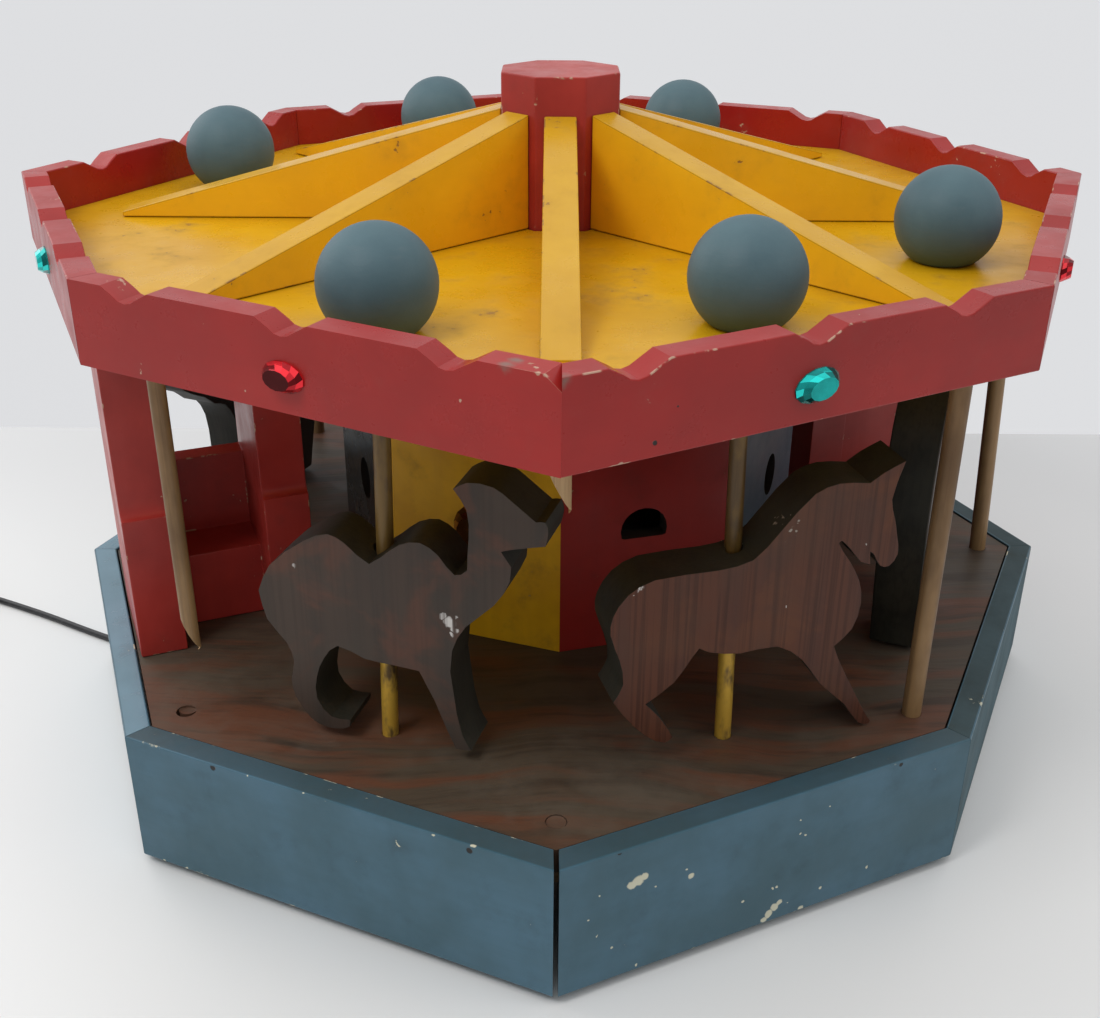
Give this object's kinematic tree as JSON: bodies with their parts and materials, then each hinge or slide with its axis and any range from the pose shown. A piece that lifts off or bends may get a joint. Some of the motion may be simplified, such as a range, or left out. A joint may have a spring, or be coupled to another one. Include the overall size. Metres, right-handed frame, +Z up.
{
  "type": "revolving carousel lamp",
  "caption": "Eight-sided wooden carousel lamp that revolves on a hidden stand, with plank animals on dowel poles, benches, a ribbed roof with ball finials and a lamp inside a windowed drum.",
  "frame": {"origin": "middle of the stand's underside, on the table, on the turning axis", "axes": "+Z up along the turning axis; -Y towards the roof's far-reaching front corner; +X to the right seen from the front"},
  "size_m": [0.7568, 0.5994, 0.3595],
  "materials": {
    "stand_plywood": "raw plywood, matte",
    "socket_brass": "satin brass shell and pipe",
    "bulb_glass": "clear glass globe",
    "motor_steel": "plated steel can, satin",
    "cord_sheath": "black sheath, satin",
    "plug_body": "black moulded body, satin",
    "race_steel": "pressed steel cage and balls",
    "wheel_rubber": "black rubber, matte",
    "deck_stain": "dark brown stain on plywood, satin, worn",
    "drum_paint": "panels painted yellow, red, blue and black, satin",
    "roof_paint": "yellow paint, satin, soiled",
    "hub_paint": "red paint, satin",
    "skirt_paint": "blue paint, satin, chipped",
    "fascia_paint": "red paint, satin, edges worn to the wood",
    "rib_paint": "yellow paint, satin, worn top edges",
    "dowel_wood": "bare hardwood dowel, golden brown",
    "finial_paint": "blue-grey paint, satin",
    "bench_paint": "red paint, satin",
    "animal_stain": "dark brown stained hardwood, semi-gloss"
  },
  "bodies": {
    "stand": {"stand_plate": "stand_plywood", "race_block": "stand_plywood", "lamp_socket": "socket_brass", "light_bulb": "bulb_glass", "gear_motor": "motor_steel", "cord_lead": "cord_sheath", "cord_coil": "cord_sheath", "plug": "plug_body"},
    "ball_ring": {"ball_ring": "race_steel"},
    "drive_wheel": {"drive_wheel": "wheel_rubber"},
    "carousel": {"deck": "deck_stain", "drum": "drum_paint", "roof_panel": "roof_paint", "hub": "hub_paint", "skirt_board_1": "skirt_paint", "skirt_board_2": "skirt_paint", "skirt_board_3": "skirt_paint", "skirt_board_4": "skirt_paint", "skirt_board_5": "skirt_paint", "skirt_board_6": "skirt_paint", "skirt_board_7": "skirt_paint", "skirt_board_8": "skirt_paint", "fascia_board_1": "fascia_paint", "fascia_board_2": "fascia_paint", "fascia_board_3": "fascia_paint", "fascia_board_4": "fascia_paint", "fascia_board_5": "fascia_paint", "fascia_board_6": "fascia_paint", "fascia_board_7": "fascia_paint", "fascia_board_8": "fascia_paint", "roof_rib_1": "rib_paint", "roof_rib_2": "rib_paint", "roof_rib_3": "rib_paint", "roof_rib_4": "rib_paint", "roof_rib_5": "rib_paint", "roof_rib_6": "rib_paint", "roof_rib_7": "rib_paint", "roof_rib_8": "rib_paint", "support_dowel_1": "dowel_wood", "support_dowel_2": "dowel_wood", "support_dowel_3": "dowel_wood", "support_dowel_4": "dowel_wood", "support_dowel_5": "dowel_wood", "support_dowel_6": "dowel_wood", "support_dowel_7": "dowel_wood", "support_dowel_8": "dowel_wood", "finial_pole_1": "finial_paint", "finial_pole_2": "finial_paint", "finial_pole_3": "finial_paint", "finial_pole_4": "finial_paint", "finial_pole_5": "finial_paint", "finial_pole_6": "finial_paint", "camel_1": "animal_stain", "camel_2": "animal_stain", "horse_1": "animal_stain", "horse_2": "animal_stain", "elephant_1": "animal_stain", "elephant_2": "animal_stain", "bench_1": "bench_paint", "bench_2": "bench_paint"}
  },
  "joints": [
    {"name": "carousel_spin", "type": "hinge", "parent": "stand", "child": "carousel", "pos_m": [0, 0, 0.0641], "axis": [0, 0, 1], "continuous": true},
    {"name": "ball_ring_spin", "type": "hinge", "parent": "stand", "child": "ball_ring", "pos_m": [0, 0, 0.0534], "axis": [0, 0, 1], "continuous": true},
    {"name": "drive_wheel_spin", "type": "hinge", "parent": "stand", "child": "drive_wheel", "pos_m": [0.13294, 0.13294, 0.0518], "axis": [0.7071, 0.7071, 0], "continuous": true}
  ],
  "couplings": [
    {"joint": "ball_ring_spin", "follows": "carousel_spin", "ratio": 0.5},
    {"joint": "drive_wheel_spin", "follows": "carousel_spin", "ratio": -15.667}
  ]
}
